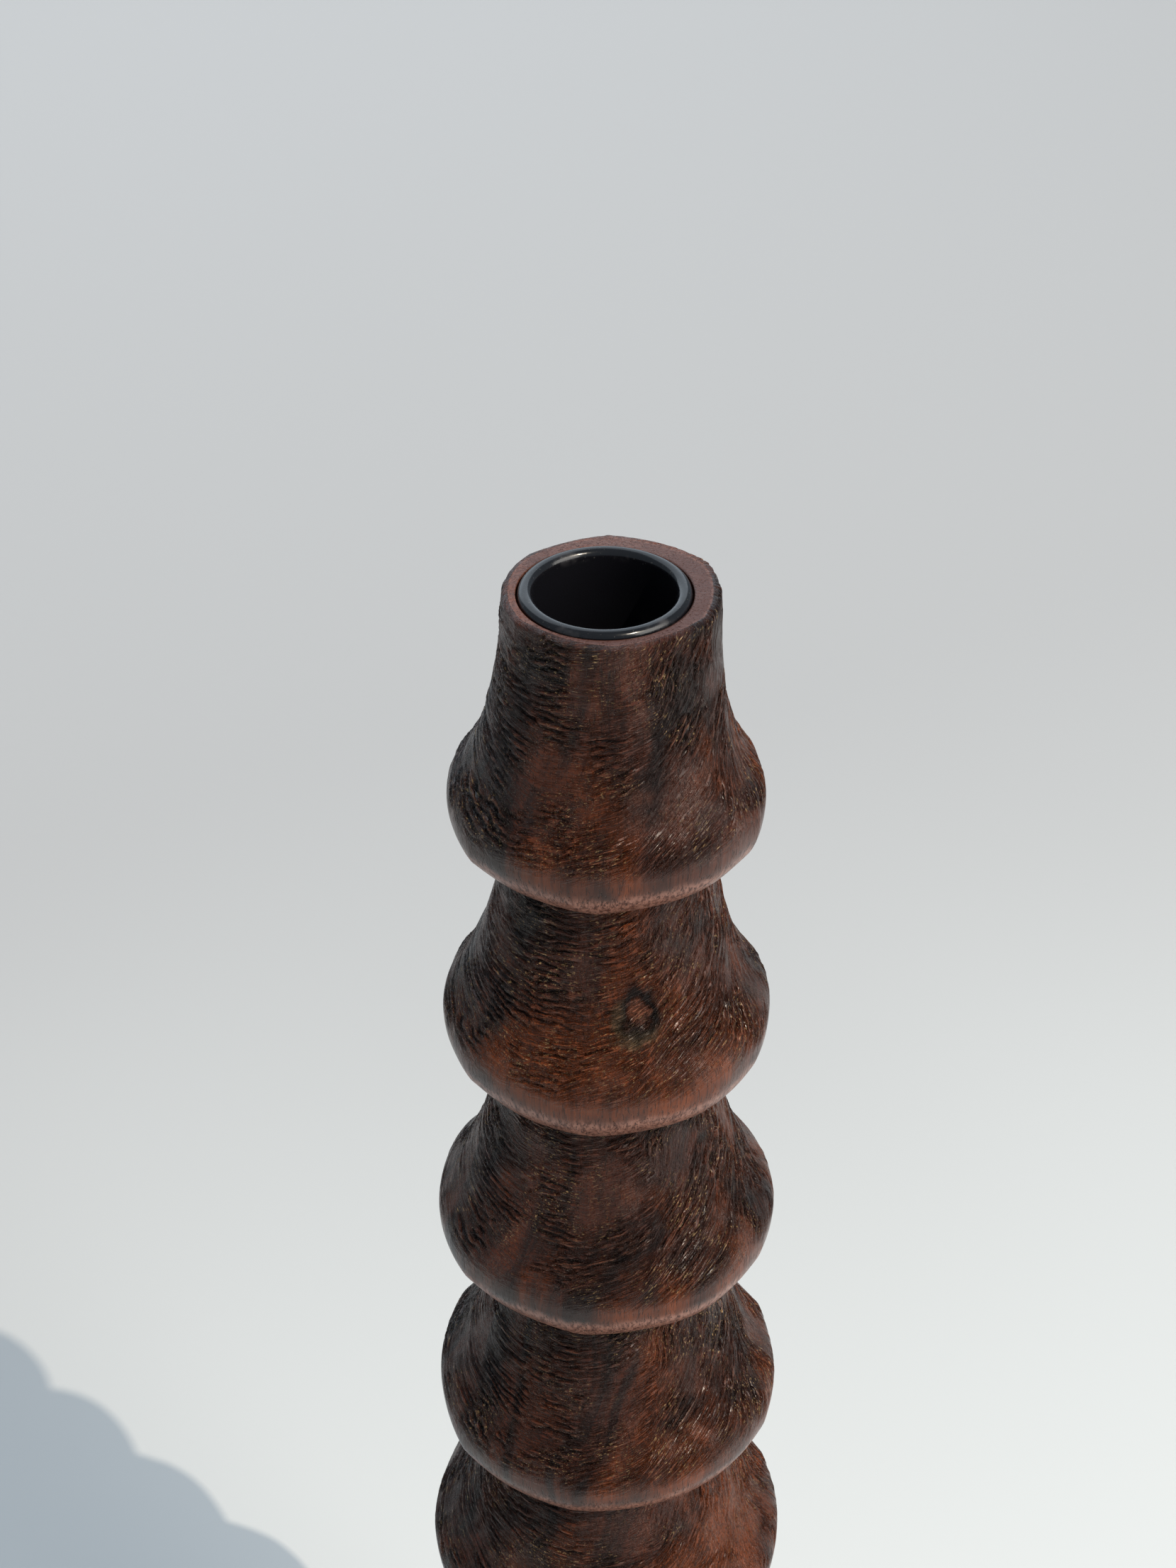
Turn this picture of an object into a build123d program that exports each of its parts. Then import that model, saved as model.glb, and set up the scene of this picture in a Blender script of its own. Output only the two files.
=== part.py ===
"""A tall candlestick: one turned spindle of bell-shaped tiers that widen towards the foot,
a drop-in metal candle cup with a curled rim, and a felt disc under the foot.

Millimetres, +Z up. The origin is the centre of the standing face, on the turning axis.
"""

from build123d import *

import os
from math import cos, radians, sin

os.makedirs("parts", exist_ok=True)

# ---------------------------------------------------------------- driving sizes
# The spindle
height = 420.0  # standing face to top face
tier_count = 9
top_tier_length = 50.0  # the top tier has a longer neck than the others
tier_shortening = 0.985  # each lower tier's length over the one above it
top_bulge_radius = 27.8  # widest radius of the top tier
second_bulge_radius = 29.7  # widest radius of the tier below it
foot_bulge_radius = 46.4  # widest radius of the lowest tier
neck_share = 0.603  # a neck's radius over its own tier's bulge radius
top_border = 3.7  # wood left round the cup at the top face
foot_face_radius = 35.0  # flat wood that the stick stands on

# How a tier's side runs, as shares of the tier's length from its top
early_rise = 0.285  # where the side has gone a quarter of the way from neck to bulge
late_rise = 0.605  # where it has gone three quarters of the way
bulge_drop = 0.755  # where the bulge is widest
neck_flare = 9.0  # degrees that the side leans out where it leaves the neck
top_early_rise = 0.43
top_late_rise = 0.67
top_bulge_drop = 0.79
top_neck_flare = 3.0

crease_fillet = 0.5  # hollow corner between an underside and the neck below it
top_edge_fillet = 0.5

# The candle cup
mouth_radius = 11.8  # takes a 22 mm taper candle
cup_wall = 0.8
cup_depth = 24.0  # rim's crown to the inside of the floor
cup_floor_bend = 2.0  # inside radius where the wall turns into the floor
rim_width = 2.5  # the curl's outside diameter
rim_curl_turn = 270.0  # degrees that the sheet is curled through
rim_proud = 0.9  # how far the curl's crown stands above the top face
cup_offset_x = -0.45  # the bore was drilled by eye, a little off the axis
cup_offset_y = -0.3

# Fits
bore_clearance = 0.25  # radial, cup wall to bore
rim_clearance = 0.3  # radial, curl to counterbore
seat_clearance = 0.05  # curl to the ledge that it sits on
floor_clearance = 1.0  # cup's underside to the bore's bottom

# The felt
felt_thickness = 1.5
felt_margin = 2.0  # wood left showing round the felt

# ---------------------------------------------------------------- derived sizes
rim_bend = rim_width / 2
rim_center_radius = mouth_radius + rim_bend
rim_radius = mouth_radius + rim_width
cup_radius = mouth_radius + cup_wall
cup_crown_z = height + rim_proud
rim_center_z = cup_crown_z - rim_bend
cup_inside_z = cup_crown_z - cup_depth
cup_bottom_z = cup_inside_z - cup_wall
outside_bend = cup_floor_bend + cup_wall

bore_radius = cup_radius + bore_clearance
bore_bottom_z = cup_bottom_z - floor_clearance
counterbore_radius = rim_radius + rim_clearance
ledge_z = rim_center_z - rim_bend - seat_clearance
top_face_radius = counterbore_radius + top_border

wood_bottom_z = felt_thickness
lower_span = height - wood_bottom_z - top_tier_length
lower_shares = [tier_shortening**i for i in range(tier_count - 1)]
lower_lengths = [lower_span * share / sum(lower_shares) for share in lower_shares]
tier_lengths = [top_tier_length] + lower_lengths

bulge_step = (foot_bulge_radius - second_bulge_radius) / (tier_count - 2)
lower_bulges = [second_bulge_radius + bulge_step * i for i in range(tier_count - 1)]
bulge_radii = [top_bulge_radius] + lower_bulges
neck_radii = [top_face_radius] + [neck_share * bulge for bulge in lower_bulges]
under_radii = neck_radii[1:] + [foot_face_radius]
tier_tops = [height - sum(tier_lengths[:i]) for i in range(tier_count)]


# ---------------------------------------------------------------- the spindle
def tier_side(index):
    """Adds one tier's side to the open outline: a hollow flank, the bulge, a round underside."""
    top = tier_tops[index]
    length = tier_lengths[index]
    neck = neck_radii[index]
    bulge = bulge_radii[index]
    under = under_radii[index]
    early, late, drop, flare = early_rise, late_rise, bulge_drop, neck_flare
    if index == 0:
        early, late, drop, flare = top_early_rise, top_late_rise, top_bulge_drop, top_neck_flare
    bulge_z = top - drop * length
    Spline(
        (neck, top),
        (0.75 * neck + 0.25 * bulge, top - early * length),
        (0.25 * neck + 0.75 * bulge, top - late * length),
        (bulge, bulge_z),
        tangents=[(sin(radians(flare)), -cos(radians(flare))), (0, -1)],
    )
    EllipticalCenterArc(
        (under, bulge_z),
        bulge - under,
        (1 - drop) * length,
        start_angle=-90,
        arc_size=90,
    )


with BuildPart() as column:
    with BuildSketch(Plane.XZ):
        with BuildLine():
            Polyline(
                (neck_radii[0], height),
                (0, height),
                (0, wood_bottom_z),
                (foot_face_radius, wood_bottom_z),
            )
            for tier in range(tier_count):
                tier_side(tier)
        make_face()
    revolve(axis=Axis.Z)
    # the hollow corners where a tier's underside meets the next neck
    for crease_z in tier_tops[1:]:
        rings = column.edges().filter_by_position(Axis.Z, crease_z - 0.001, crease_z + 0.001)
        fillet(rings, radius=crease_fillet)
    fillet(column.edges().group_by(Axis.Z)[-1], radius=top_edge_fillet)
    # the stepped bore for the cup
    with Locations((cup_offset_x, cup_offset_y, height)):
        CounterBoreHole(
            radius=bore_radius,
            counter_bore_radius=counterbore_radius,
            counter_bore_depth=height - ledge_z,
            depth=height - bore_bottom_z,
        )
column.part.label = "column"
export_step(column.part, "parts/column.step")


# ---------------------------------------------------------------- the candle cup
cup_plane = Plane(
    origin=(cup_offset_x, cup_offset_y, 0),
    x_dir=(1, 0, 0),
    z_dir=(0, -1, 0),
)
cup_axis = Axis((cup_offset_x, cup_offset_y, 0), (0, 0, 1))

with BuildPart() as candle_cup:
    # wall and floor, with a round bend between them
    with BuildSketch(cup_plane):
        with BuildLine():
            Line((0, cup_bottom_z), (cup_radius - outside_bend, cup_bottom_z))
            JernArc(
                (cup_radius - outside_bend, cup_bottom_z), (1, 0), outside_bend, 90
            )
            Line((cup_radius, cup_bottom_z + outside_bend), (cup_radius, rim_center_z))
            Line((cup_radius, rim_center_z), (mouth_radius, rim_center_z))
            Line((mouth_radius, rim_center_z), (mouth_radius, cup_inside_z + cup_floor_bend))
            JernArc(
                (mouth_radius, cup_inside_z + cup_floor_bend), (0, -1), cup_floor_bend, -90
            )
            Line((mouth_radius - cup_floor_bend, cup_inside_z), (0, cup_inside_z))
            Line((0, cup_inside_z), (0, cup_bottom_z))
        make_face()
    revolve(axis=cup_axis)
    # the rim: the sheet goes on upwards and is curled outwards and back under
    with BuildSketch(cup_plane):
        with BuildLine():
            inner_bend = rim_bend - cup_wall
            outer = CenterArc((rim_center_radius, rim_center_z), rim_bend, 180, -rim_curl_turn)
            inner = CenterArc((rim_center_radius, rim_center_z), inner_bend, 180, -rim_curl_turn)
            Line(outer @ 0, inner @ 0)
            Line(outer @ 1, inner @ 1)
        make_face()
    revolve(axis=cup_axis)
candle_cup.part.label = "candle_cup"
export_step(candle_cup.part, "parts/candle_cup.step")


# ---------------------------------------------------------------- the felt
with BuildPart() as foot_felt:
    with BuildSketch(Plane.XY):
        Circle(foot_face_radius - felt_margin)
    extrude(amount=felt_thickness)
foot_felt.part.label = "foot_felt"
export_step(foot_felt.part, "parts/foot_felt.step")
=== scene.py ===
"""A tall turned candlestick with rasped bell-shaped tiers, a black drop-in candle cup and a felt
foot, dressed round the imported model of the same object. Lengths are metres, and +Z is up."""

import math

import bpy
import numpy as np
from mathutils import Matrix, Vector


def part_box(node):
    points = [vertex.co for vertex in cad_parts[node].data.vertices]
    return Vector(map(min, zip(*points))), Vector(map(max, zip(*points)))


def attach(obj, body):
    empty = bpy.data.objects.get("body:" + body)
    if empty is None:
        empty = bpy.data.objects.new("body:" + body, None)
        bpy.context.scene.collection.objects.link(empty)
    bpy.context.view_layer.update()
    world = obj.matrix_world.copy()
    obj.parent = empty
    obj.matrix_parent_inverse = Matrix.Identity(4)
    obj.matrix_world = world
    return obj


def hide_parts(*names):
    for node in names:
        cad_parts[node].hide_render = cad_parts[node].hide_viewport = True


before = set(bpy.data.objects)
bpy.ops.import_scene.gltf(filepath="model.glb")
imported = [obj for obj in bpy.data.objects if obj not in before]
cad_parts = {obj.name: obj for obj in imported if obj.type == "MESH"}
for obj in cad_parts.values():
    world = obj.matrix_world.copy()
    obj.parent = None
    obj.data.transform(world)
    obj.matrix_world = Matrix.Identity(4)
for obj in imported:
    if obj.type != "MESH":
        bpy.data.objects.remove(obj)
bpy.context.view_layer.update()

bl_info = {
    "name": "Rasped Candlestick",
    "version": (1, 0, 0),
    "blender": (4, 5, 0),
    "location": "3D View > Sidebar > Candlestick",
    "description": "Dresses a turned candlestick with rasped wood, a lacquered cup and felt",
    "category": "Object",
}

MM = 0.001
COLUMN, CUP, FELT = "column", "candle_cup", "foot_felt"
STICK_BODY = "stick"
FACE_ROWS, SINK_ROWS, BORE_ROWS = 9, 5, 10  # rows across the top face, down the counterbore and the bore
TOP_LEAN = (0.8 * MM, 0.6 * MM, 0.0)  # how far the neck leans at the top face
FOOT_HOLD = 2.0 * MM  # keeps the lumps of the widest tier inside its turned size
FIRST_SEED = 10
FELT_AROUND, FELT_SEED, FELT_LUMPS = 360, 77, 0.5 * MM
KNOT_TIER, KNOT_SHARE, KNOT_TURN, KNOT_SIZE = 2, 0.58, math.radians(13), 3.7 * MM
WORN_EDGE = 1.0 * MM  # how much of the neck's top edge is worn round
LEAN_REACH = 34 * MM  # how far below the top face the neck starts to lean
SLANT_MIDDLE, SLANT_SWING, SLANT_CHANCE = 0.36, 0.72, 0.14  # of the rasp marks, in radians
SUN_TOWARD = (0.713, -0.701, math.tan(math.radians(49.1)))
SUN_STRENGTH, SUN_ANGLE, SUN_COLOR = 1.9, math.radians(0.6), (1.0, 0.88, 0.72)
SKY_STRENGTH, SKY_COLOR = 0.33, (0.70, 0.86, 1.0, 1)
SOFTBOXES = {  # where each stands, its width, its watts and its colour
    "side_softbox": ((1.35, -0.75, 1.25), 1.3, 22.0, (1.0, 0.96, 0.9)),
    "back_softbox": ((-0.35, 1.5, 1.45), 2.4, 22.0, (0.8, 0.9, 1.0)),
}
SOFTBOX_TARGET = (0, 0, 0.3)
CAMERA_EYE = (-3.3 * MM, -368.1 * MM, 222.8 * MM)  # its height counts from the top face
CAMERA_PITCH, CAMERA_ROLL, CAMERA_LENS = 0.617, -0.0036, 60.67
# the floor's far colour is darker as painted shade, the falloff of light away from the lamps
FLOOR_HALF, FLOOR_NEAR, FLOOR_FAR = 3.0, (0.735, 0.755, 0.755, 1), (0.485, 0.485, 0.49, 1)


# ---------------------------------------------------------------- sizes read from the frame
def node_points(name):
    """A CAD node's corners as an array."""
    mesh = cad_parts[name].data
    found = np.empty(len(mesh.vertices) * 3, np.float32)
    mesh.vertices.foreach_get("co", found)
    return found.reshape(-1, 3).astype(float)


def cup_center():
    """Where the candle cup's axis stands, as (x, y)."""
    low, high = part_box(CUP)
    return (low.x + high.x) / 2, (low.y + high.y) / 2


def outer_side():
    """The column's outer side from the foot up to the top face's edge, as (radius, height) rows."""
    points = node_points(COLUMN)
    radius = np.hypot(points[:, 0], points[:, 1])
    top = points[:, 2].max()
    neck = radius[points[:, 2] > top - 2 * MM].max()
    outer = points[radius > neck - 1.2 * MM]
    reach = np.hypot(outer[:, 0], outer[:, 1])
    levels = np.unique(np.round(outer[:, 2], 5))
    return np.array([(reach[np.abs(outer[:, 2] - z) < 6e-6].max(), z) for z in levels])


def creases(side):
    """The heights of the sharp waists between tiers, lowest first, with the two ends."""
    even = np.linspace(side[0, 1], side[-1, 1], 4001)
    width = np.interp(even, side[:, 1], side[:, 0])
    reach = 60
    cuts = [0]
    for i in range(reach, len(even) - reach):
        narrowest = width[i] == width[i - reach : i + reach + 1].min()
        undercut = width[i + reach] - width[i] > 3 * MM and width[i - reach] > width[i]
        if narrowest and undercut and i - cuts[-1] > reach:
            cuts.append(i)
    return [even[i] for i in cuts + [len(even) - 1]]


def bore_rows():
    """The column's counterbore and bore from the top face in, as (radius, height) rows."""
    points = node_points(COLUMN)
    x, y = cup_center()
    radius = np.hypot(points[:, 0] - x, points[:, 1] - y)
    top = points[:, 2].max()
    inside = (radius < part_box(CUP)[1].x - x + 1 * MM) & (points[:, 2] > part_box(CUP)[0].z - 3 * MM)
    widths = np.unique(np.round(radius[inside], 5))
    bore, counterbore = widths.min(), widths.max()
    floor = points[inside, 2].min()
    ledge = points[inside & (np.abs(radius - counterbore) < 2e-5), 2].min()
    return [(counterbore, top), (counterbore, ledge), (bore, ledge), (bore, floor)]


def resample(rows, count):
    """An outline's points spread evenly along its length, with the distance of each."""
    rows = np.asarray(rows, float)
    steps = np.hypot(*np.diff(rows, axis=0).T)
    length = np.concatenate([[0], np.cumsum(steps)])
    even = np.linspace(0, length[-1], count)
    return np.stack([np.interp(even, length, rows[:, i]) for i in (0, 1)], 1), even


def ease(low, high, value):
    """0 below low and 1 above high, with a soft start and stop."""
    share = np.clip((np.asarray(value, float) - low) / (high - low), 0, 1)
    return share * share * (3 - 2 * share)


# ---------------------------------------------------------------- nodes
class Bench:
    """A node tree, with short ways to lay its nodes and link them."""

    def __init__(self, tree):
        self.tree = tree

    def node(self, kind, inputs=None, **settings):
        """One node. Its settings go first, because they choose which sockets it has."""
        made = self.tree.nodes.new(kind)
        for name, value in settings.items():
            setattr(made, name, value)
        for key, value in (inputs or {}).items():
            self.feed(made.inputs[key], value)
        return made

    def feed(self, socket, value):
        """A socket takes a link or a plain value."""
        if isinstance(value, bpy.types.NodeSocket):
            self.tree.links.new(value, socket)
        else:
            socket.default_value = value

    def math(self, operation, *values):
        return self.node("ShaderNodeMath", dict(enumerate(values)), operation=operation).outputs[0]

    def add(self, *values):
        total = values[0]
        for value in values[1:]:
            total = self.math("ADD", total, value)
        return total

    def times(self, *values):
        total = values[0]
        for value in values[1:]:
            total = self.math("MULTIPLY", total, value)
        return total

    def vector(self, operation, *values):
        made = self.node("ShaderNodeVectorMath", operation=operation)
        for i, value in enumerate(values):
            self.feed(made.inputs[i], value)
        return made.outputs["Value" if operation == "LENGTH" else "Vector"]

    def scaled(self, vector, share):
        return self.node(
            "ShaderNodeVectorMath", {"Vector": vector, "Scale": share}, operation="SCALE"
        ).outputs[0]

    def join(self, x, y, z):
        return self.node("ShaderNodeCombineXYZ", {0: x, 1: y, 2: z}).outputs[0]

    def split(self, vector):
        return self.node("ShaderNodeSeparateXYZ", {0: vector}).outputs

    def noise(self, vector, scale=1.0, detail=2.0, rough=0.5, distortion=0.0):
        made = self.node("ShaderNodeTexNoise", noise_dimensions="3D")
        sizes = {"Vector": vector, "Scale": scale, "Detail": detail}
        for key, value in {**sizes, "Roughness": rough, "Distortion": distortion}.items():
            self.feed(made.inputs[key], value)
        return made.outputs["Fac"]

    def ramp(self, value, low, high, start=0.0, end=1.0):
        """A smooth step from start to end as value goes from low to high."""
        made = self.node("ShaderNodeMapRange", interpolation_type="SMOOTHSTEP")
        for i, given in enumerate((value, low, high, start, end)):
            self.feed(made.inputs[i], given)
        return made.outputs[0]

    def blend(self, share, first, second):
        """A plain number that goes from first to second."""
        made = self.node("ShaderNodeMix", {0: share, 2: first, 3: second}, data_type="FLOAT")
        return made.outputs[0]

    def tint(self, share, first, second):
        """A colour that goes from first to second."""
        made = self.node("ShaderNodeMix", data_type="RGBA")
        for i, given in ((0, share), (6, first), (7, second)):
            self.feed(made.inputs[i], given)
        return made.outputs[2]


def sockets(tree, rows, side="INPUT"):
    """Adds named sockets to a tree from (name, type, default) rows."""
    for name, kind, default in rows:
        made = tree.interface.new_socket(name, in_out=side, socket_type="NodeSocket" + kind)
        if default is not None:
            made.default_value = default


# ---------------------------------------------------------------- the rasped tier
TIER_INPUTS = [
    ("Outline", "Geometry", None),
    ("Around", "Int", 520),
    ("Rows", "Int", 180),
    ("Bore Center", "Vector", None),
    ("Sectors", "Int", 6),
    ("Seed", "Int", 1),
    ("Lumps", "Float", 0.3 * MM),
    ("Facets", "Float", 0.5 * MM),
    ("Strokes", "Float", 0.3 * MM),
    ("Stroke Pitch", "Float", 1.6 * MM),
    ("Waviness", "Float", 0.4 * MM),
    ("Holding Back", "Float", 0.0),
    ("Lean", "Vector", None),
    ("Knot Height", "Float", 0.0),
    ("Knot Turn", "Float", 0.0),
    ("Knot Size", "Float", 0.0),
    ("Wood", "Material", None),
]


def stroke_layer(bench, given, turn, radius, along_side, offset):
    """One round of rasped fields: its coordinates along and across the strokes, how far each point
    is from the middle of its field, from -0.5 to 0.5, and the field's random number, from -1 to 1."""
    round_spot = bench.join(
        bench.math("SINE", turn), bench.math("COSINE", turn), bench.times(along_side, 40.0)
    )
    drift = bench.noise(round_spot, 0.9, 1.0)
    drift = bench.times(bench.math("SUBTRACT", drift, 0.5), 1.1)
    share = bench.math("DIVIDE", bench.add(turn, math.pi), 2 * math.pi)
    place = bench.add(bench.times(share, given["Sectors"]), offset, drift)
    field = bench.math("FLOOR", place)
    middle = bench.math("SUBTRACT", bench.math("SUBTRACT", place, field), 0.5)
    label = bench.math("FLOORED_MODULO", field, given["Sectors"])
    dice = bench.node("FunctionNodeRandomValue", data_type="FLOAT")
    bench.feed(dice.inputs[2], -1.0)
    bench.feed(dice.inputs[3], 1.0)
    bench.feed(dice.inputs["ID"], bench.add(label, offset * 64))
    bench.feed(dice.inputs["Seed"], given["Seed"])
    chance = dice.outputs[1]
    field_share = bench.math("DIVIDE", bench.add(field, 0.5 - offset), given["Sectors"])
    facing = bench.math("SUBTRACT", bench.times(field_share, 2 * math.pi), math.pi)
    swing = bench.times(bench.math("SINE", facing), SLANT_SWING)
    slant = bench.add(SLANT_MIDDLE, swing, bench.times(chance, SLANT_CHANCE))
    width = bench.math("DIVIDE", bench.times(middle, radius, 2 * math.pi), given["Sectors"])
    cosine, sine = bench.math("COSINE", slant), bench.math("SINE", slant)
    along = bench.add(bench.times(width, cosine), bench.times(along_side, sine))
    across = bench.math("SUBTRACT", bench.times(along_side, cosine), bench.times(width, sine))
    return bench.join(along, across, bench.times(chance, 0.5)), middle, chance


def stroke_height(bench, given, coordinates):
    """The height of rasp strokes: wavy ridges that start and stop, from about -1 to 1."""
    along, across, seed = bench.split(coordinates)
    bend = bench.noise(bench.join(bench.times(along, 150.0), bench.times(across, 170.0), seed), 1.0, 2.0)
    wander = bench.times(bench.math("SUBTRACT", bend, 0.5), 3.0)
    turns = bench.add(bench.math("DIVIDE", across, given["Stroke Pitch"]), wander)
    wave = bench.times(bench.math("PINGPONG", turns, 0.5), 2.0)
    ridge = bench.math("SUBTRACT", bench.times(bench.ramp(wave, 0.1, 0.75), 1.9), 1.1)
    start_spot = bench.join(bench.times(along, 110.0), bench.times(across, 300.0), seed)
    starts = bench.ramp(bench.noise(start_spot, 1.0, 1.0), 0.38, 0.56)
    chatter_spot = bench.join(bench.times(along, 140.0), bench.times(across, 900.0), bench.times(seed, 7.0))
    chatter = bench.times(bench.math("SUBTRACT", bench.noise(chatter_spot, 1.0, 1.0), 0.5), 2.6)
    return bench.add(bench.times(ridge, starts, 0.75), bench.times(chatter, 0.55))


def knot_marks(bench, given, bare, turn, radius, height):
    """The knot's bark, core, glow and pale ring, in the form that tier_tree stores, and how far the
    knot stands out. All are 0 where the knot has no size."""
    turned = bench.times(bench.math("SUBTRACT", turn, given["Knot Turn"]), radius)
    rise = bench.math("SUBTRACT", height, given["Knot Height"])
    slim = bench.add(1.0, bench.times(bench.math("DIVIDE", rise, given["Knot Size"]), 0.25))
    far = bench.math(
        "DIVIDE",
        bench.vector("LENGTH", bench.join(bench.times(turned, slim), bench.times(rise, 0.8), 0.0)),
        bench.math("MAXIMUM", given["Knot Size"], 1e-6),
    )
    uneven = bench.math("SUBTRACT", bench.noise(bare, 420.0, 2.0), 0.5)
    far = bench.add(far, bench.times(uneven, 0.9))
    rim, bark = bench.math("SUBTRACT", far, 1.0), bench.math("SUBTRACT", far, 0.8)
    ring = bench.math("EXPONENT", bench.times(rim, rim, -24.0))
    pit = bench.math("SUBTRACT", 1.0, bench.ramp(far, 0.1, 0.9))
    lower_left = bench.ramp(bench.add(turned, rise), 2.0 * MM, -3.0 * MM)
    lift = bench.math("SUBTRACT", bench.times(ring, 0.25 * MM), bench.times(pit, 0.35 * MM))
    marks = {
        "knot": bench.math("EXPONENT", bench.times(bark, bark, -9.0)),
        "knot_core": bench.math("SUBTRACT", 1.0, bench.ramp(far, 0.25, 0.6)),
        "knot_glow": bench.math("EXPONENT", bench.times(far, far, -0.045)),
        "knot_ring": bench.times(ring, lower_left),
    }
    here = bench.math("GREATER_THAN", given["Knot Size"], 1e-5)
    stored = {name: ("FLOAT", bench.times(value, here)) for name, value in marks.items()}
    return stored, bench.times(lift, here)


def tier_tree():
    """Spins an outline into one tier, then wanders, facets and rasps its side."""
    tree = bpy.data.node_groups.new("Rasped Tier", "GeometryNodeTree")
    sockets(tree, TIER_INPUTS)
    sockets(tree, [("Tier", "Geometry", None)], "OUTPUT")
    bench = Bench(tree)
    given = bench.node("NodeGroupInput").outputs

    grid = bench.node("GeometryNodeMeshGrid", {"Size X": 1.0, "Size Y": 1.0})
    bench.feed(grid.inputs["Vertices X"], bench.add(given["Around"], 1))
    bench.feed(grid.inputs["Vertices Y"], given["Rows"])
    place = bench.node("GeometryNodeInputPosition").outputs[0]
    across, down, _ = bench.split(place)
    turn = bench.times(across, 2 * math.pi)
    row = bench.math("ROUND", bench.times(bench.add(down, 0.5), bench.math("SUBTRACT", given["Rows"], 1)))

    def row_value(kind, name=None):
        """What the outline says at this row: its place, or one of its named values."""
        if name:
            field = bench.node("GeometryNodeInputNamedAttribute", {"Name": name}, data_type=kind).outputs[0]
        else:
            field = bench.node("GeometryNodeInputPosition").outputs[0]
        taken = bench.node("GeometryNodeSampleIndex", data_type=kind, domain="POINT")
        bench.feed(taken.inputs["Geometry"], given["Outline"])
        bench.feed(taken.inputs["Value"], field)
        bench.feed(taken.inputs["Index"], row)
        return taken.outputs[0]

    radius, _, height = bench.split(row_value("FLOAT_VECTOR"))
    lean_out, _, lean_up = bench.split(row_value("FLOAT_VECTOR", "outward"))
    carved, belly, loose = bench.split(row_value("FLOAT_VECTOR", "masks"))
    along_side, inside, edge = bench.split(row_value("FLOAT_VECTOR", "place"))
    polish = row_value("FLOAT", "polish")
    lean = row_value("FLOAT", "lean")

    round_x, round_y = bench.math("SINE", turn), bench.times(bench.math("COSINE", turn), -1.0)
    outward = bench.join(round_x, round_y, 0.0)
    bare = bench.vector(
        "ADD", bench.join(bench.times(round_x, radius), bench.times(round_y, radius), height),
        bench.scaled(given["Bore Center"], inside),
    )
    facing = bench.join(bench.times(round_x, lean_out), bench.times(round_y, lean_out), lean_up)

    wander = bench.math("SUBTRACT", bench.noise(bare, 42.0, 1.5), 0.5)
    broad = bench.math("SUBTRACT", bench.noise(bare, 17.0, 1.0), 0.5)
    lumps = bench.times(bench.add(bench.times(wander, 2.2), bench.times(broad, 2.2)), given["Lumps"], loose)
    ripple = bench.math("SUBTRACT", bench.noise(bench.vector("ADD", bare, (3.0, 1.0, 2.0)), 90.0, 2.0), 0.5)
    ripple = bench.times(ripple, 3.0, given["Waviness"], edge)

    first, first_middle, first_chance = stroke_layer(bench, given, turn, radius, along_side, 0.0)
    second, _, _ = stroke_layer(bench, given, turn, radius, along_side, 0.5)
    share = bench.ramp(bench.math("ABSOLUTE", first_middle), 0.2, 0.3)
    height_of_strokes = bench.blend(
        share, stroke_height(bench, given, first), stroke_height(bench, given, second)
    )
    seeded = bench.vector("ADD", bare, bench.join(bench.times(given["Seed"], 0.37), 0.0, 0.0))
    patch = bench.ramp(bench.noise(seeded, 75.0, 2.0), 0.36, 0.56, 0.25, 1.0)
    cut = bench.times(carved, patch)
    chord = bench.math("SUBTRACT", 1.0, bench.times(first_middle, first_middle, 4.0))
    facets = bench.times(
        chord, given["Facets"], bench.add(0.55, bench.times(first_chance, 0.45)), belly, loose
    )

    knot, knot_lift = knot_marks(bench, given, bare, turn, radius, height)
    sideways = bench.math("SUBTRACT", lumps, facets)
    sideways = bench.math("SUBTRACT", sideways, bench.times(given["Holding Back"], belly))
    rough = bench.add(bench.times(height_of_strokes, given["Strokes"], cut), knot_lift)
    final = bench.vector("ADD", bare, bench.scaled(outward, sideways))
    final = bench.vector("ADD", final, bench.scaled(facing, rough))
    final = bench.vector("ADD", final, bench.join(0.0, 0.0, ripple))
    final = bench.vector("ADD", final, bench.scaled(given["Lean"], lean))

    made = grid.outputs["Mesh"]
    stored = {
        "stroke_one": ("FLOAT_VECTOR", first),
        "stroke_two": ("FLOAT_VECTOR", second),
        "stroke_share": ("FLOAT", share),
        "cut": ("FLOAT", cut),
        "ridge": ("FLOAT", bench.times(height_of_strokes, cut)),
        "polish": ("FLOAT", polish),
        "end_grain": ("FLOAT", bench.ramp(inside, 0.0, 0.2)),
        **knot,
    }
    for name, (kind, value) in stored.items():
        store = bench.node("GeometryNodeStoreNamedAttribute", data_type=kind, domain="POINT")
        bench.feed(store.inputs["Geometry"], made)
        bench.feed(store.inputs["Name"], name)
        bench.feed(store.inputs["Value"], value)
        made = store.outputs[0]
    moved = bench.node("GeometryNodeSetPosition", {"Geometry": made, "Position": final}).outputs[0]
    merged = bench.node("GeometryNodeMergeByDistance", {"Geometry": moved, "Distance": 0.001 * MM}).outputs[0]
    smooth = bench.node("GeometryNodeSetShadeSmooth", {"Geometry": merged}).outputs[0]
    real = bench.node("GeometryNodeRealizeInstances", {"Geometry": smooth}).outputs[0]
    dressed = bench.node("GeometryNodeSetMaterial", {"Geometry": real, "Material": given["Wood"]})
    bench.node("NodeGroupOutput", {0: dressed.outputs[0]})
    return tree


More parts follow.
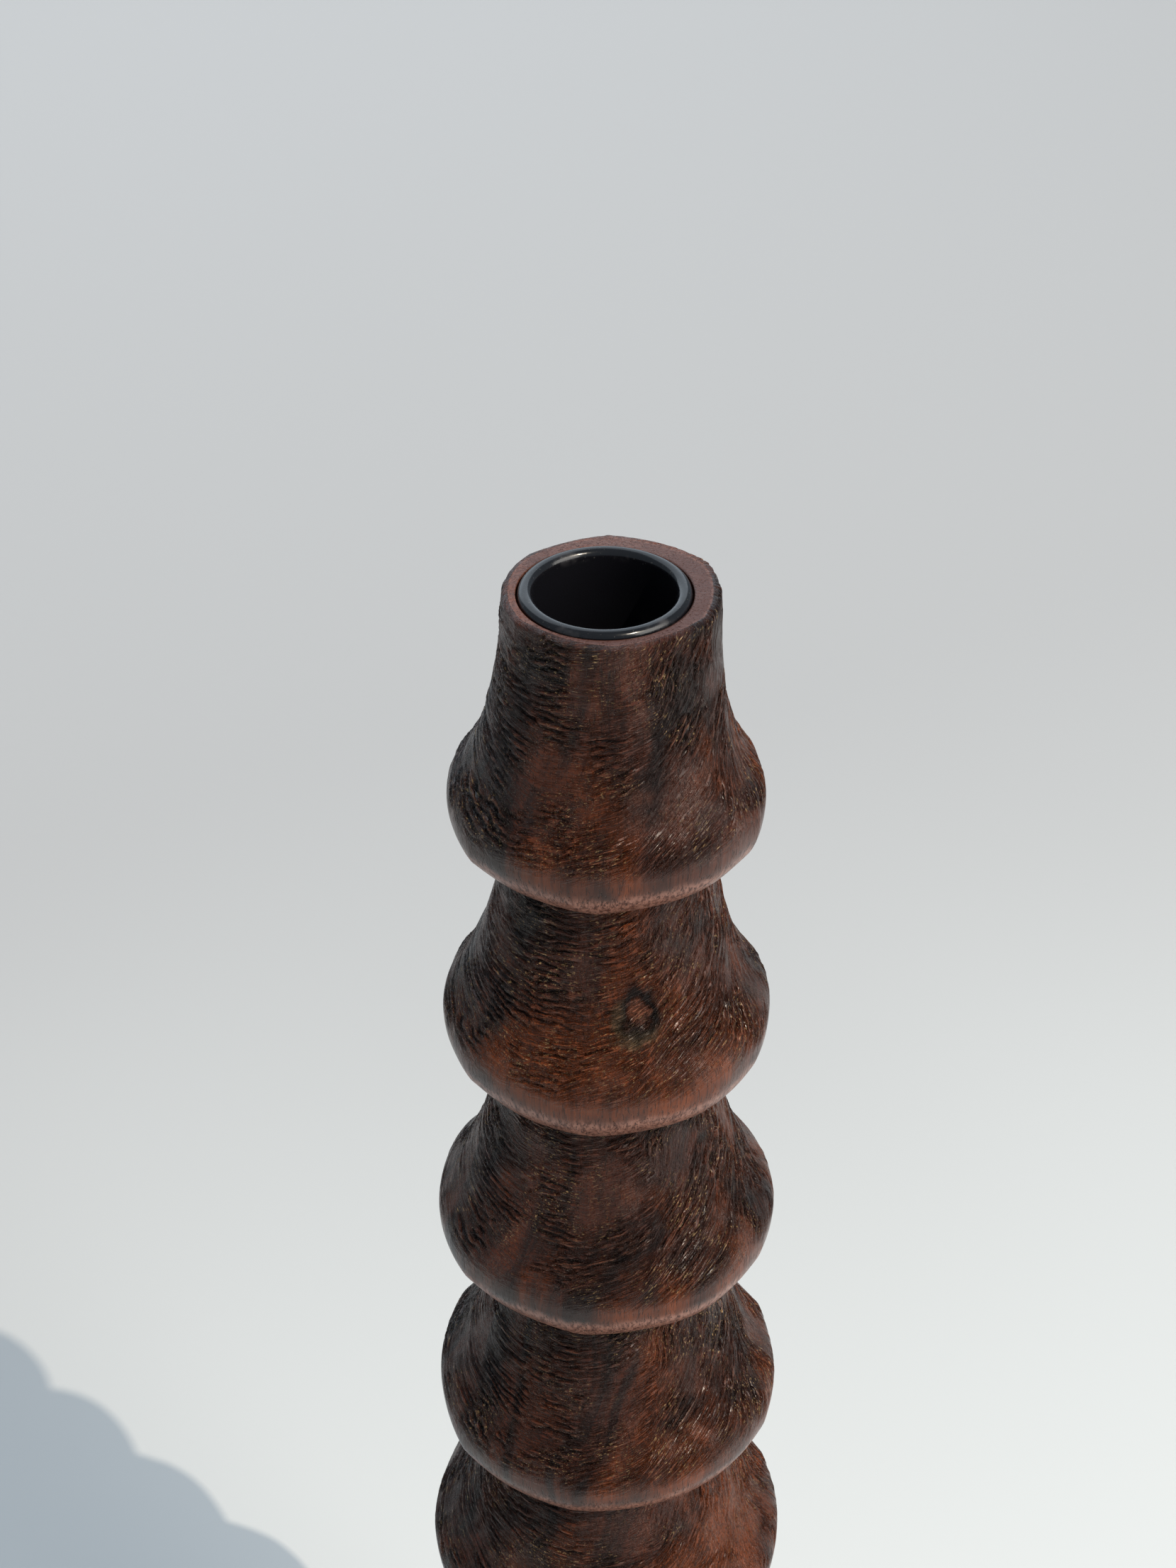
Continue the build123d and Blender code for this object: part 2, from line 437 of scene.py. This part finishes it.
def shape_outline(name, rows, values):
    """An object whose corners are an outline's points in order, with named values at each."""
    mesh = bpy.data.meshes.new(name)
    mesh.from_pydata([(r, 0.0, z) for r, z in rows], [(i, i + 1) for i in range(len(rows) - 1)], [])
    for key, (kind, given) in values.items():
        made = mesh.attributes.new(key, kind, "POINT")
        slot = "value" if kind == "FLOAT" else "vector"
        made.data.foreach_set(slot, np.asarray(given, np.float32).ravel())
    thing = bpy.data.objects.new(name, mesh)
    bpy.context.scene.collection.objects.link(thing)
    return thing


def run_tree(thing, tree, settings):
    """Turns a geometry tree's result into the object's own plain mesh."""
    modifier = thing.modifiers.new("make", "NODES")
    modifier.node_group = tree
    named = {s.name: s.identifier for s in tree.interface.items_tree if s.in_out == "INPUT"}
    for name, value in settings.items():
        modifier[named[name]] = value
    graph = bpy.context.evaluated_depsgraph_get()
    finished = bpy.data.meshes.new_from_object(
        thing.evaluated_get(graph), preserve_all_data_layers=True, depsgraph=graph
    )
    if not finished.polygons:
        raise RuntimeError(f"{thing.name} came out empty")
    thing.modifiers.clear()
    outline = thing.data
    thing.data = finished
    finished.name = thing.name
    bpy.data.meshes.remove(outline)
    return thing


def named_values(outward, masks, place, polish, lean):
    """An outline's named values, in the form that shape_outline stores."""
    return {
        "outward": ("FLOAT_VECTOR", outward),
        "masks": ("FLOAT_VECTOR", np.stack(masks, 1)),
        "place": ("FLOAT_VECTOR", np.stack(place, 1)),
        "polish": ("FLOAT", polish),
        "lean": ("FLOAT", lean),
    }


def top_face_rows(edge_point):
    """From the top face's edge in to the counterbore, down the bore and across its floor, and how
    far each point still follows the uneven side, from 1 to 0."""
    counterbore, ledge_edge, bore, floor = (np.array(row) for row in bore_rows())
    face_end = np.array([counterbore[0], edge_point[1]])

    def run(start, end, count):
        """Points after start, up to and with end."""
        return start + (end - start) * np.linspace(0, 1, count + 1)[1:, None]

    face = run(edge_point, face_end, FACE_ROWS)
    sink, deep = run(counterbore, ledge_edge, SINK_ROWS), run(bore, floor, BORE_ROWS)
    rows = np.concatenate([face, sink, [bore], deep, [(0.0, floor[1])]])
    following = np.zeros(len(rows))
    following[:FACE_ROWS] = 1 - np.linspace(0, 1, FACE_ROWS + 1)[1:]
    return rows, following


def tier_outline(side, low, high, first, last, sizes):
    """One tier's outline from the axis at its lower end, up its side and in to the axis again, with
    its masks. The first tier stands on the felt, and the last has the top face and the bore."""
    rows = side[(side[:, 1] >= low - 1e-6) & (side[:, 1] <= high + 1e-6)]
    widths = np.interp([low, high], side[:, 1], side[:, 0])
    rows = np.concatenate([[(widths[0], low)], rows, [(widths[1], high)]])
    count = sizes.rows - (FACE_ROWS + SINK_ROWS + BORE_ROWS + 2 if last else 2)
    line, along = resample(rows, count)
    slope = np.gradient(line, along, axis=0)
    outward = np.stack([slope[:, 1], np.zeros(count), -slope[:, 0]], 1)
    outward /= np.linalg.norm(outward, axis=1)[:, None]

    length = along[-1]
    if last:
        line[:, 0] -= 0.5 * WORN_EDGE * np.clip((along - length + WORN_EDGE) / WORN_EDGE, 0, 1) ** 2
    above = along - along[np.argmax(line[:, 0])]
    fade = {name: 0 if last else ease(length - reach, length, along)
            for name, reach in (("cut", 1.2 * MM), ("belly", 8 * MM))}
    carved = ease(-0.6 * MM, 4.5 * MM, above) * (1 - fade["cut"])
    if last:
        carved *= 1 - ease(length - 0.9 * MM, length - 0.2 * MM, along) * 0.8
    belly = ease(0, 6 * MM, along) * (1 - fade["belly"])
    lower_edge = 0 if first else 1 - ease(0, 3 * MM, along)
    upper_edge = 0 if last else 1 - ease(0, 3 * MM, length - along)
    edge = np.maximum(lower_edge, upper_edge) * np.ones(count)
    if first:
        edge[along < length / 2] = 0
    polish = 1 - ease(-6.5 * MM, 0.5 * MM, above)
    lean = ease(length - LEAN_REACH, length, along) if last else np.zeros(count)

    if last:
        inner, following = top_face_rows(line[-1])
        outward[-1] = (0, 0, 1)
        inner_along = length + np.arange(1, len(inner) + 1) * 0.3 * MM
    else:
        inner, following = np.array([(0.0, high)]), np.zeros(1)
        inner_along = np.array([length])
    extra = len(inner)
    full = float(last)

    def whole(values, start, end):
        """A value for the lower axis point, the side and the inner rows."""
        return np.concatenate([[start], values, np.ones(extra) * end])

    line = np.concatenate([[(0.0, low)], line, inner])
    outward = np.concatenate([[(0, 0, -1)], outward, np.tile([0.0, 0.0, 1.0], (extra, 1))])
    carved, edge = whole(carved, 0.0, 0.0), whole(edge, 0.0, 0.0)
    belly, polish = whole(belly, 0.0, full), whole(polish, 1.0, full)
    loose = whole(np.ones(count), 0.0, following)
    inside = whole(np.zeros(count), 0.0, (1 - following) * full)
    lean = whole(lean, 0.0, following)
    along = whole(along, 0.0, inner_along)
    return line, named_values(outward, (carved, belly, loose), (along, inside, edge), polish, lean)


def felt_outline(radius, low, high):
    """The felt disc's outline, with a rounded cut edge, from its underside round to its top."""
    thick = high - low
    curl = np.linspace(-math.pi / 2, math.pi / 2, 11)
    flat = np.linspace(0, radius - thick, 22)
    edge_radius = radius - thick * 0.75 + thick * 0.5 * np.cos(curl)
    side = np.stack([edge_radius, (low + high) / 2 + thick / 2 * np.sin(curl)], 1)
    under = np.stack([flat, np.full(len(flat), low)], 1)
    over = np.stack([flat[::-1], np.full(len(flat), high)], 1)
    line = np.concatenate([under, side, over])
    loose = ease(0.8 * radius, radius - thick, line[:, 0])
    none = np.zeros(len(line))
    along = np.linspace(0, 2 * radius, len(line))
    outward = np.tile([1.0, 0.0, 0.0], (len(line), 1))
    return line, named_values(outward, (none, none, loose), (along, none, none), none, none)


# ---------------------------------------------------------------- finishes
def new_group(name, inputs, outputs):
    """An empty shader group with named sockets, and its bench."""
    tree = bpy.data.node_groups.new(name, "ShaderNodeTree")
    sockets(tree, inputs)
    sockets(tree, outputs, "OUTPUT")
    bench = Bench(tree)
    return bench, bench.node("NodeGroupInput").outputs, bench.node("NodeGroupOutput").inputs


def timber_figure_group():
    """Wood that is solid all through: soft bands of growth, fibres along the trunk, and pores that
    show as dashes on a side and dots on an end."""
    bench, given, out = new_group(
        "Timber Figure",
        [("Vector", "Vector", None), ("Band Width", "Float", 5.0), ("Pore Width", "Float", 0.35)],
        [("Bands", "Float", None), ("Fibres", "Float", None), ("Pores", "Float", None)],
    )
    x, y, z = bench.split(given["Vector"])
    bend_spot = bench.join(bench.times(x, 0.05), bench.times(y, 0.05), bench.times(z, 0.02))
    bend = bench.noise(bend_spot, 1.0, 2.0)
    far = bench.vector("LENGTH", bench.join(bench.add(x, 70.0), bench.add(y, -35.0), 0.0))
    rings = bench.add(bench.math("DIVIDE", far, given["Band Width"]), bench.times(bend, 5.0))
    bench.feed(out["Bands"], bench.noise(bench.join(rings, bench.times(z, 0.01), 0.0), 1.0, 3.0, 0.6))
    strands = bench.join(bench.times(x, 1.6), bench.times(y, 1.6), bench.times(z, 0.09))
    bench.feed(out["Fibres"], bench.noise(strands, 1.0, 3.0, 0.65))
    narrow = bench.math("DIVIDE", 1.0, given["Pore Width"])
    holes = bench.join(bench.times(x, narrow), bench.times(y, narrow), bench.times(z, 0.32))
    bench.feed(out["Pores"], bench.ramp(bench.noise(holes, 1.0, 1.0), 0.6, 0.7))
    return bench.tree


def fine_rasp_group():
    """The finest rasp marks, from the coordinates of both rounds of fields."""
    bench, given, out = new_group(
        "Fine Rasp",
        [("One", "Vector", None), ("Two", "Vector", None), ("Share", "Float", 0.0), ("Pitch", "Float", 0.5)],
        [("Height", "Float", None), ("Glints", "Float", None)],
    )
    marks, glints = [], []
    for key in ("One", "Two"):
        along, across, seed = bench.split(given[key])
        wide = bench.math("DIVIDE", bench.times(across, 1000.0), given["Pitch"])
        long = bench.math("DIVIDE", bench.times(along, 1000.0), bench.times(given["Pitch"], 7.0))
        marks.append(bench.noise(bench.join(long, wide, bench.times(seed, 900.0)), 1.0, 3.0, 0.6))
        short = bench.math("DIVIDE", bench.times(along, 1000.0), bench.times(given["Pitch"], 2.5))
        glints.append(bench.noise(bench.join(short, wide, bench.times(seed, 500.0)), 1.3, 2.0, 0.6))
    bench.feed(out["Height"], bench.ramp(bench.blend(given["Share"], *marks), 0.36, 0.6))
    bench.feed(out["Glints"], bench.blend(given["Share"], *glints))
    return bench.tree


def dust_group():
    """Fine pale dust and handling marks in soft patches."""
    bench, given, out = new_group(
        "Dust",
        [("Vector", "Vector", None), ("Patch Size", "Float", 8.0), ("Amount", "Float", 0.5)],
        [("Mask", "Float", None), ("Specks", "Float", None)],
    )
    wide = bench.noise(given["Vector"], bench.math("DIVIDE", 1.0, given["Patch Size"]), 3.0, 0.6)
    low = bench.math("SUBTRACT", 0.8, bench.times(given["Amount"], 0.5))
    bench.feed(out["Mask"], bench.ramp(wide, low, bench.add(low, 0.2)))
    bench.feed(out["Specks"], bench.ramp(bench.noise(given["Vector"], 2.6, 1.0), 0.68, 0.76))
    return bench.tree


def new_finish(name, rough, metallic=0.0):
    """A material with only its Principled shader, its bench, and that shader's inputs."""
    made = bpy.data.materials.new(name)
    made.use_nodes = True
    bench = Bench(made.node_tree)
    shader = made.node_tree.nodes["Principled BSDF"]
    shader.inputs["Roughness"].default_value = rough
    shader.inputs["Metallic"].default_value = metallic
    return made, bench, shader.inputs


def object_millimetres(bench, shift=(0, 0, 0)):
    """The piece's own coordinates in millimetres."""
    spot = bench.node("ShaderNodeTexCoord").outputs["Object"]
    return bench.node(
        "ShaderNodeMapping", {"Vector": spot, "Location": shift, "Scale": (1000, 1000, 1000)}
    ).outputs[0]


def attribute(bench, name, vector=False):
    """A value that the geometry tree stored on the piece."""
    return bench.node("ShaderNodeAttribute", attribute_name=name).outputs["Vector" if vector else "Fac"]


def effect(bench, group, inputs):
    """A shared effect placed in a material with its own values."""
    return bench.node("ShaderNodeGroup", inputs, node_tree=group).outputs


def rasped_wood(groups, colors):
    """Dark stained hardwood, rasped on the sides and rubbed smooth under each bulge, with painted light in
    its colour: a warmer right side, crest glints and the floor reflected under the bulges.
    """
    wood, bench, skin = new_finish("stained_rasped_wood", 0.5)
    spot = object_millimetres(bench)
    figure = effect(bench, groups["timber"], {"Vector": spot, "Band Width": 5.0, "Pore Width": 0.3})
    cut, ridge = attribute(bench, "cut"), attribute(bench, "ridge")
    polish, knot = attribute(bench, "polish"), attribute(bench, "knot")
    ring, end_grain = attribute(bench, "knot_ring"), attribute(bench, "end_grain")
    rasp = effect(bench, groups["rasp"], {
        "One": attribute(bench, "stroke_one", True),
        "Two": attribute(bench, "stroke_two", True),
        "Share": attribute(bench, "stroke_share"),
        "Pitch": 0.42,
    })
    dust = effect(bench, groups["dust"], {"Vector": spot, "Patch Size": 9.0, "Amount": 0.45})
    # the grain, with the stain thin in places, and painted light: more ember colour towards the right, the
    # sun's side
    right, _, _ = bench.split(spot)
    thin_stain_and_lit_side = bench.noise(bench.vector("MULTIPLY", spot, (1.0, 1.0, 0.55)), 0.05, 3.0, 0.62)
    # painted light: the ember share grows towards +X, where the sun falls; the orange round the knot is the
    # wood's own colour
    thin_stain_and_lit_side = bench.add(thin_stain_and_lit_side, bench.times(right, 0.0022), bench.times(attribute(bench, "knot_glow"), 0.13))
    edge = bench.times(bench.math("SUBTRACT", bench.noise(spot, 0.2, 3.0), 0.5), 0.8)
    polish = bench.ramp(bench.add(polish, edge), 0.3, 0.8)
    base = bench.tint(bench.ramp(figure["Bands"], 0.36, 0.64), colors.dark_wood, colors.mid_wood)
    base = bench.tint(bench.times(bench.ramp(thin_stain_and_lit_side, 0.47, 0.69), 0.7), base, colors.ember_wood)
    base = bench.tint(bench.times(bench.ramp(figure["Fibres"], 0.42, 0.62), 0.4), base, colors.dark_wood)
    # the rasp marks: stain in the valleys, dry wood on the crests
    fine = rasp["Height"]
    base = bench.tint(bench.times(bench.math("SUBTRACT", 1.0, fine), cut, 0.5), base, colors.valley_wood)
    base = bench.tint(bench.times(bench.ramp(ridge, -0.25, -0.8), 0.6), base, colors.valley_wood)
    crest = bench.times(bench.ramp(ridge, 0.15, 0.7), fine)
    base = bench.tint(bench.times(crest, 0.35), base, colors.crest_wood)
    # painted highlights: pale golden glints on the rasped crests stand for the sun catching ridge edges,
    # partly pale torn fibres
    frayed = bench.ramp(bench.noise(spot, 0.09, 2.0), 0.44, 0.58)
    glint = bench.times(bench.ramp(rasp["Glints"], 0.6, 0.67), bench.ramp(cut, 0.1, 0.6), frayed)
    base = bench.tint(bench.times(glint, 0.5), base, colors.dry_fibre)
    # the underside rubbed smooth and lighter, partly a painted reflection of the pale floor, and the pores
    smooth_and_reflecting_underside = bench.tint(bench.ramp(figure["Fibres"], 0.4, 0.66), colors.rubbed_wood_and_reflection, colors.mid_wood)
    base = bench.tint(bench.times(polish, 0.95), base, smooth_and_reflecting_underside)
    pores = bench.times(figure["Pores"], bench.blend(polish, 0.4, 0.6), bench.blend(end_grain, 1.0, 0.4))
    base = bench.tint(pores, base, colors.valley_wood)
    # the sawn top face
    saw_marks = bench.noise(bench.vector("MULTIPLY", spot, (0.35, 1.1, 1.0)), 0.5, 3.0, 0.65)
    worn = bench.add(bench.noise(spot, 0.1, 2.0), bench.times(right, 0.008), bench.times(saw_marks, 0.3))
    base = bench.tint(bench.times(end_grain, bench.ramp(worn, 0.45, 0.8, 0.66, 0.97)), base, colors.mid_wood)
    stained = bench.ramp(bench.add(worn, bench.times(saw_marks, 0.4)), 0.75, 0.5)
    base = bench.tint(bench.times(end_grain, stained, 0.45), base, colors.ember_wood)
    # the knot
    base = bench.tint(bench.times(knot, 0.95), base, colors.valley_wood)
    base = bench.tint(bench.times(ring, 0.1), base, colors.dry_fibre)
    base = bench.tint(bench.times(attribute(bench, "knot_core"), 0.22), base, colors.rubbed_wood_and_reflection)
    bench.feed(skin["Base Color"], base)

    gloss = bench.blend(polish, 0.26, 0.34)
    gloss = bench.add(gloss, bench.times(bench.math("SUBTRACT", figure["Fibres"], 0.5), 0.3))
    bench.feed(skin["Roughness"], bench.add(gloss, bench.times(dust["Mask"], 0.1)))
    skin["Specular IOR Level"].default_value = 0.3

    relief = bench.add(
        bench.times(rasp["Height"], cut, 1.7),
        bench.times(bench.math("SUBTRACT", 1.0, cut), figure["Fibres"], 0.15),
        bench.times(figure["Pores"], -0.25),
    )
    bump = bench.node("ShaderNodeBump", {"Strength": 1.0, "Distance": 0.5 * MM, "Height": relief})
    bench.feed(skin["Normal"], bump.outputs[0])
    return wood


def black_lacquer(groups):
    """Glossy black enamel on thin metal, scuffed and a little dusty."""
    lacquer, bench, skin = new_finish("black_lacquer", 0.16)
    spot = object_millimetres(bench)
    dust = effect(bench, groups["dust"], {"Vector": spot, "Patch Size": 6.0, "Amount": 0.5})
    rim_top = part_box(CUP)[1].z / MM
    rim = bench.ramp(bench.split(spot)[2], rim_top - 2.2, rim_top - 0.7)
    scuffed = bench.times(dust["Mask"], rim)
    shade = bench.tint(bench.times(scuffed, 0.5), (0.006, 0.006, 0.008, 1), (0.075, 0.07, 0.075, 1))
    shade = bench.tint(bench.times(dust["Specks"], rim, 0.15), shade, (0.3, 0.28, 0.26, 1))
    bench.feed(skin["Base Color"], shade)
    peel = bench.noise(spot, 0.7, 2.0)
    bench.feed(skin["Roughness"], bench.add(0.16, bench.times(scuffed, 0.2), bench.times(peel, 0.06)))
    bump = bench.node("ShaderNodeBump", {"Strength": 0.35, "Distance": 0.06 * MM, "Height": peel})
    bench.feed(skin["Normal"], bump.outputs[0])
    return lacquer


def pressed_felt(groups, colors):
    """Matted wool felt, with loose fibres in its surface."""
    felt, bench, skin = new_finish("pressed_felt", 0.95)
    spot = object_millimetres(bench)
    dust = effect(bench, groups["dust"], {"Vector": spot, "Patch Size": 4.0, "Amount": 0.5})
    fibres = bench.noise(spot, 2.4, 4.0, 0.7, 2.5)
    shade = bench.tint(bench.ramp(fibres, 0.35, 0.68), colors.felt_dark, colors.felt_light)
    bench.feed(skin["Base Color"], bench.tint(bench.times(dust["Specks"], 0.3), shade, (0.2, 0.18, 0.16, 1)))
    bump = bench.node("ShaderNodeBump", {"Strength": 0.9, "Distance": 0.3 * MM, "Height": fibres})
    bench.feed(skin["Normal"], bump.outputs[0])
    return felt


def shader_groups():
    """The effects that the finishes share, built once."""
    return {"timber": timber_figure_group(), "rasp": fine_rasp_group(), "dust": dust_group()}


def finishes(context):
    """The finished materials by name, made on first use."""
    if "stained_rasped_wood" not in bpy.data.materials:
        groups = shader_groups()
        colors = context.scene.candlestick_colors
        rasped_wood(groups, colors)
        black_lacquer(groups)
        pressed_felt(groups, colors)
    return bpy.data.materials


# ---------------------------------------------------------------- what a user may change
def size_prop(name, description, default):
    return bpy.props.FloatProperty(
        name=name, description=description, default=default, min=0.0, unit="LENGTH", precision=5
    )


def color_prop(name, description, default):
    return bpy.props.FloatVectorProperty(
        name=name, description=description, default=(*default, 1.0), size=4, min=0, max=1, subtype="COLOR"
    )


class CandlestickSizes(bpy.types.PropertyGroup):
    """Sizes of the carving and of the meshes."""

    around: bpy.props.IntProperty(name="Around", description="Columns of faces round a tier", default=520)
    rows: bpy.props.IntProperty(name="Rows", description="Rows of points up a tier", default=184)
    sectors: bpy.props.IntProperty(name="Fields", description="Rasped fields round a tier", default=6)
    lumps: size_prop("Lumps", "How far the side wanders from true round", 0.6 * MM)
    facets: size_prop("Facets", "Depth of the flats left by the rasp", 0.9 * MM)
    strokes: size_prop("Strokes", "Depth of the coarse rasp marks", 0.42 * MM)
    pitch: size_prop("Stroke Pitch", "Distance between coarse rasp marks", 1.45 * MM)
    waviness: size_prop("Waviness", "How far each crease wanders up and down", 0.35 * MM)


class CandlestickColors(bpy.types.PropertyGroup):
    """Colours of the wood and the felt."""

    dark_wood: color_prop("Dark Wood", "Stained wood between the bands", (0.018, 0.0074, 0.0058))
    mid_wood: color_prop("Mid Wood", "Stained wood in the bands", (0.080, 0.0235, 0.0125))
    ember_wood: color_prop("Ember Wood", "Where the stain is thin", (0.200, 0.045, 0.009))
    valley_wood: color_prop("Valley Wood", "Stain gathered in the rasp marks", (0.004, 0.003, 0.003))
    crest_wood: color_prop("Crest Wood", "Ridges between rasp marks", (0.190, 0.072, 0.038))
    # painted highlights: this pale colour also paints the glints on the rasp crests, as well as the knot's
    # pale ring
    dry_fibre: color_prop("Dry Fibre", "Torn fibres that catch the light", (0.560, 0.370, 0.180))
    # painted reflection: this pale colour stands partly for the floor reflected in the smooth undersides; the
    # knot core uses it too
    rubbed_wood_and_reflection: color_prop("Rubbed Wood", "Smooth wood under the bulges", (0.285, 0.130, 0.092))
    felt_dark: color_prop("Felt Dark", "Shaded felt", (0.020, 0.022, 0.020))
    felt_light: color_prop("Felt Light", "Raised felt", (0.060, 0.064, 0.058))


# ---------------------------------------------------------------- the pieces
class TurnColumn(bpy.types.Operator):
    """Turn and rasp the wooden column, one piece for each tier"""

    bl_idname = "candlestick.turn_column"
    bl_label = "Turn the Column"

    def execute(self, context):
        sizes = context.scene.candlestick_sizes
        wood = finishes(context)["stained_rasped_wood"]
        side = outer_side()
        cuts = creases(side)
        tiers = len(cuts) - 1
        tree = tier_tree()
        x, y = cup_center()
        for number in range(1, tiers + 1):
            low, high = cuts[tiers - number], cuts[tiers - number + 1]
            last, first = number == 1, number == tiers
            line, values = tier_outline(side, low, high, first, last, sizes)
            piece = shape_outline(f"column_tier_{number}", line, values)
            settings = {
                "Around": sizes.around,
                "Rows": len(line),
                "Bore Center": (x, y, 0.0),
                "Sectors": sizes.sectors,
                "Seed": FIRST_SEED + number,
                "Lumps": sizes.lumps,
                "Facets": sizes.facets,
                "Strokes": sizes.strokes,
                "Stroke Pitch": sizes.pitch,
                "Waviness": sizes.waviness,
                "Holding Back": FOOT_HOLD if first else 0.0,
                "Lean": TOP_LEAN,
                "Wood": wood,
            }
            if number == KNOT_TIER:
                settings.update({
                    "Knot Height": low + KNOT_SHARE * (high - low),
                    "Knot Turn": KNOT_TURN,
                    "Knot Size": KNOT_SIZE,
                })
            run_tree(piece, tree, settings)
            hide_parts(COLUMN)
            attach(piece, STICK_BODY)
        return {"FINISHED"}


class FinishCup(bpy.types.Operator):
    """Lacquer the metal candle cup"""

    bl_idname = "candlestick.finish_cup"
    bl_label = "Finish the Cup"

    def execute(self, context):
        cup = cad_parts[CUP]
        lacquer = finishes(context)["black_lacquer"]
        if not cup.material_slots:
            cup.data.materials.append(lacquer)
        for slot in cup.material_slots:
            slot.link = "OBJECT"
            slot.material = lacquer
        return {"FINISHED"}


class CutFelt(bpy.types.Operator):
    """Cut the felt disc under the foot"""

    bl_idname = "candlestick.cut_felt"
    bl_label = "Cut the Felt"

    def execute(self, context):
        low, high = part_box(FELT)
        radius = (high.x - low.x) / 2
        piece = shape_outline("foot_felt_disc", *felt_outline(radius, low.z, high.z))
        run_tree(piece, tier_tree(), {
            "Around": FELT_AROUND,
            "Rows": len(piece.data.vertices),
            "Seed": FELT_SEED,
            "Lumps": FELT_LUMPS,
            "Wood": finishes(context)["pressed_felt"],
        })
        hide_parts(FELT)
        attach(piece, STICK_BODY)
        return {"FINISHED"}


class SetStage(bpy.types.Operator):
    """Lay a pale floor, light it softly and stand the camera"""

    bl_idname = "candlestick.set_stage"
    bl_label = "Set the Stage"

    def execute(self, context):
        scene = context.scene
        scene.view_settings.view_transform = "Standard"
        self.lay_floor(scene)
        self.hang_lights(scene)
        self.stand_camera(scene)
        return {"FINISHED"}

    def lay_floor(self, scene):
        mesh = bpy.data.meshes.new("floor")
        corners = [(x * FLOOR_HALF, y * FLOOR_HALF, 0) for x, y in ((-1, -1), (1, -1), (1, 1), (-1, 1))]
        mesh.from_pydata(corners, [], [(0, 1, 2, 3)])
        floor = bpy.data.objects.new("floor", mesh)
        scene.collection.objects.link(floor)
        paper, bench, skin = new_finish("pale_paper", 0.9)
        spot = bench.node("ShaderNodeTexCoord").outputs["Object"]
        # painted shade: the floor darkens towards the back and left, away from the side softbox, with soft
        # uneven patches
        right, back, _ = bench.split(spot)
        away = bench.add(back, bench.times(right, -0.35))
        away = bench.add(away, bench.times(bench.noise(spot, 2.2, 1.0), 0.25))
        painted_falloff_tone = bench.tint(bench.ramp(away, 0.05, 0.75), FLOOR_NEAR, FLOOR_FAR)
        bench.feed(skin["Base Color"], painted_falloff_tone)
        mesh.materials.append(paper)

    def hang_lights(self, scene):
        world = bpy.data.worlds.new("soft_room")
        world.use_nodes = True
        sky = world.node_tree.nodes["Background"].inputs
        sky["Color"].default_value = SKY_COLOR
        sky["Strength"].default_value = SKY_STRENGTH
        scene.world = world
        sun = bpy.data.lights.new("sun", "SUN")
        sun.energy, sun.angle, sun.color = SUN_STRENGTH, SUN_ANGLE, SUN_COLOR
        lamp = bpy.data.objects.new("sun", sun)
        toward = Vector(SUN_TOWARD).normalized()
        lamp.matrix_world = toward.to_track_quat("Z", "Y").to_matrix().to_4x4()
        scene.collection.objects.link(lamp)
        for name, (place, size, power, color) in SOFTBOXES.items():
            box = bpy.data.lights.new(name, "AREA")
            box.size, box.energy, box.color = size, power, color
            holder = bpy.data.objects.new(name, box)
            way = (Vector(place) - Vector(SOFTBOX_TARGET)).to_track_quat("Z", "Y")
            holder.matrix_world = Matrix.Translation(place) @ way.to_matrix().to_4x4()
            scene.collection.objects.link(holder)

    def stand_camera(self, scene):
        lens = bpy.data.cameras.new("camera")
        lens.lens = CAMERA_LENS
        lens.sensor_width = 36.0
        camera = bpy.data.objects.new("camera", lens)
        scene.collection.objects.link(camera)
        eye = Vector(CAMERA_EYE) + Vector((0, 0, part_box(COLUMN)[1].z))
        tilt = Matrix.Rotation(math.pi / 2 - CAMERA_PITCH, 4, "X")
        turned = tilt @ Matrix.Rotation(CAMERA_ROLL, 4, "Z")
        camera.matrix_world = Matrix.Translation(eye) @ turned
        lens.clip_start, lens.clip_end = 0.01, 20.0
        scene.camera = camera


class CandlestickPanel(bpy.types.Panel):
    """Lists the sizes, the colours and the steps"""

    bl_idname = "VIEW3D_PT_candlestick"
    bl_label = "Candlestick"
    bl_space_type = "VIEW_3D"
    bl_region_type = "UI"
    bl_category = "Candlestick"

    def draw(self, context):
        for group in (context.scene.candlestick_sizes, context.scene.candlestick_colors):
            column = self.layout.column()
            for name in group.__annotations__:
                column.prop(group, name)
        for step in STEPS:
            self.layout.operator(step.bl_idname)


STEPS = (SetStage, TurnColumn, FinishCup, CutFelt)
CLASSES = (CandlestickSizes, CandlestickColors, *STEPS, CandlestickPanel)


def register():
    for made in CLASSES:
        bpy.utils.register_class(made)
    bpy.types.Scene.candlestick_sizes = bpy.props.PointerProperty(type=CandlestickSizes)
    bpy.types.Scene.candlestick_colors = bpy.props.PointerProperty(type=CandlestickColors)


def unregister():
    del bpy.types.Scene.candlestick_colors
    del bpy.types.Scene.candlestick_sizes
    for made in reversed(CLASSES):
        bpy.utils.unregister_class(made)


def main():
    register()
    bpy.ops.candlestick.set_stage()
    bpy.ops.candlestick.turn_column()
    bpy.ops.candlestick.finish_cup()
    bpy.ops.candlestick.cut_felt()


if __name__ == "__main__":
    main()
